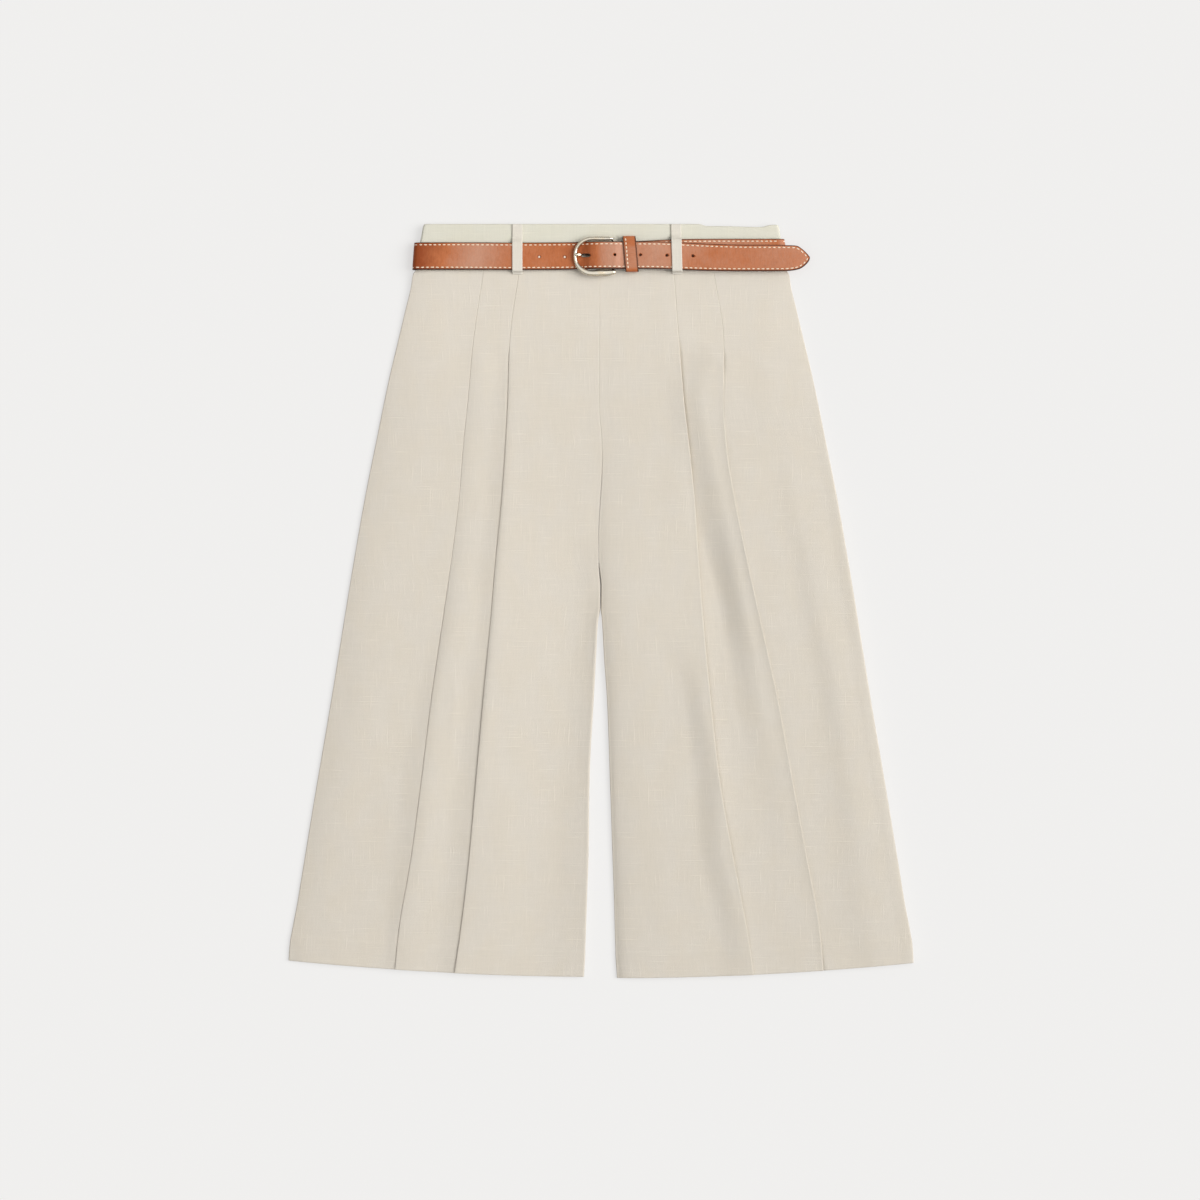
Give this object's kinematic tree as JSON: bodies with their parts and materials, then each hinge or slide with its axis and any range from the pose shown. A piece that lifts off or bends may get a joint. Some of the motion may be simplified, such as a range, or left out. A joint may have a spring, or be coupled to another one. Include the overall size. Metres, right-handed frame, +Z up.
{
  "type": "high-waisted long shorts",
  "caption": "High-waisted long shorts of pale linen with pleated fronts, belt loops and their own tan leather belt with a horseshoe buckle, laid flat with the front up.",
  "frame": {"origin": "middle of the underside of the garment as it lies", "axes": "+X to the viewer's right, +Y towards the waist, +Z up through the front"},
  "size_m": [0.6257, 0.7558, 0.0177],
  "materials": {
    "leg_linen": "plain-woven linen blend with slubs, matt",
    "band_linen": "the same linen, interlined and pressed flat",
    "tan_leather": "smooth tan leather with painted edges and cream stitching, soft sheen",
    "pale_gold": "polished pale gold plating"
  },
  "bodies": {
    "root": {"front_left": "leg_linen", "front_right": "leg_linen", "back_left": "leg_linen", "back_right": "leg_linen", "waistband_front": "band_linen", "waistband_back": "band_linen", "belt_loop_front_left": "band_linen", "belt_loop_front_right": "band_linen", "belt_loop_back_left": "band_linen", "belt_loop_back_centre": "band_linen", "belt_loop_back_right": "band_linen", "belt_strap": "tan_leather", "belt_keeper": "tan_leather", "buckle_frame": "pale_gold", "buckle_prong": "pale_gold"}
  },
  "joints": []
}
